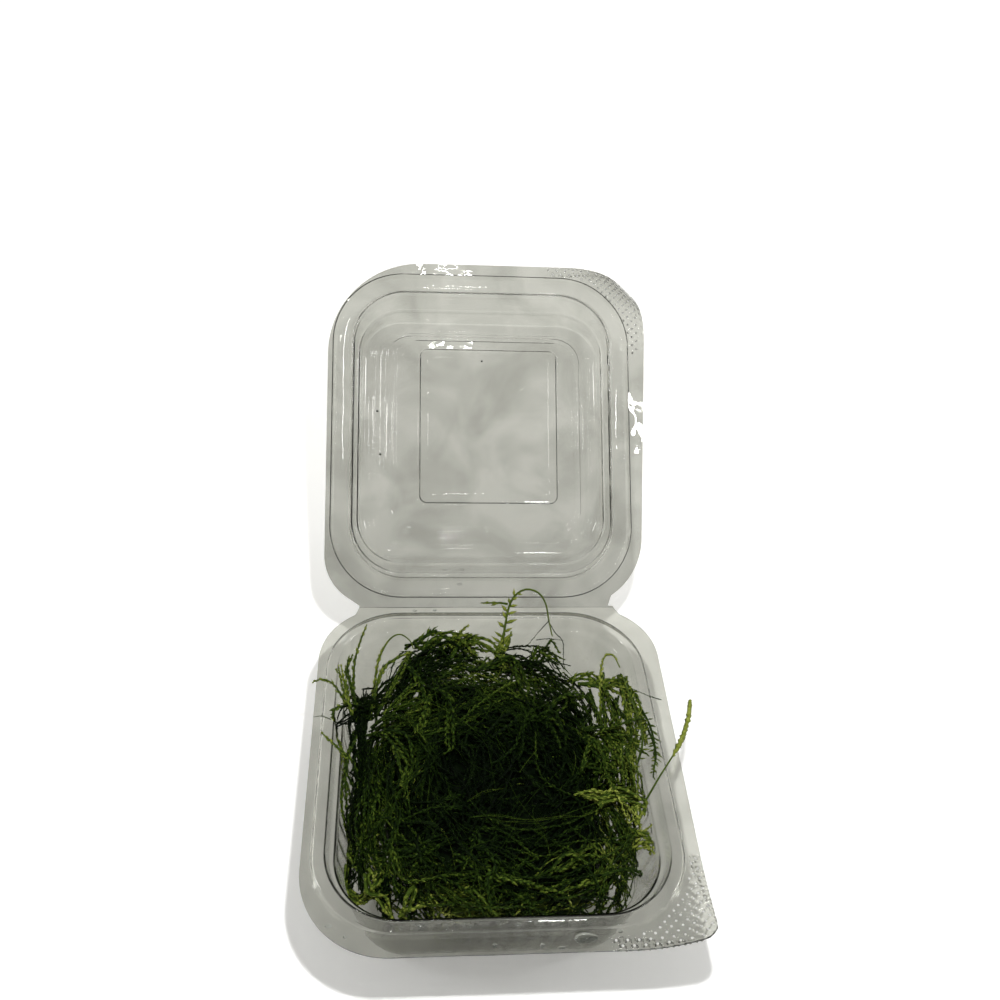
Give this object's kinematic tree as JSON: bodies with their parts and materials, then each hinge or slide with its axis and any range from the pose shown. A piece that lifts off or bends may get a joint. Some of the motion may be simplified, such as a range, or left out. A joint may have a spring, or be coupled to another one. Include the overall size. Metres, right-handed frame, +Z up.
{
  "type": "aquarium moss in a hinged clear box",
  "caption": "Portion of branching aquarium moss in a clear formed plastic box with a bead rim, ribbed walls, thumb tabs and a hinged lid that stands open.",
  "frame": {"origin": "middle of the tray's flat foot, on the surface that the box stands on", "axes": "+Z up, +Y towards the hinge at the back, +X to the right as seen from the front with the lid open"},
  "size_m": [0.1187, 0.2231, 0.1221],
  "materials": {
    "clear_plastic": "gloss",
    "moss": "satin"
  },
  "bodies": {
    "tray": {"tray": "clear_plastic", "moss_clump": "moss", "frond_arching": "moss", "frond_arching_twig": "moss", "frond_back": "moss", "frond_left_back": "moss", "frond_left_edge": "moss", "frond_left_arch": "moss", "frond_left_low": "moss", "frond_right_arch": "moss", "frond_right_side": "moss", "sprig_right": "moss"},
    "lid": {"lid": "clear_plastic"}
  },
  "joints": [
    {"name": "lid_hinge", "type": "hinge", "parent": "tray", "child": "lid", "pos_m": [0, 0.0624, 0.0382], "axis": [1, 0, 0], "range_deg": [-42, 138], "deforming": ["frond_arching", "frond_arching_twig", "frond_back", "frond_left_back", "frond_left_edge", "frond_left_arch", "frond_left_low", "frond_right_arch", "frond_right_side", "sprig_right"]}
  ]
}
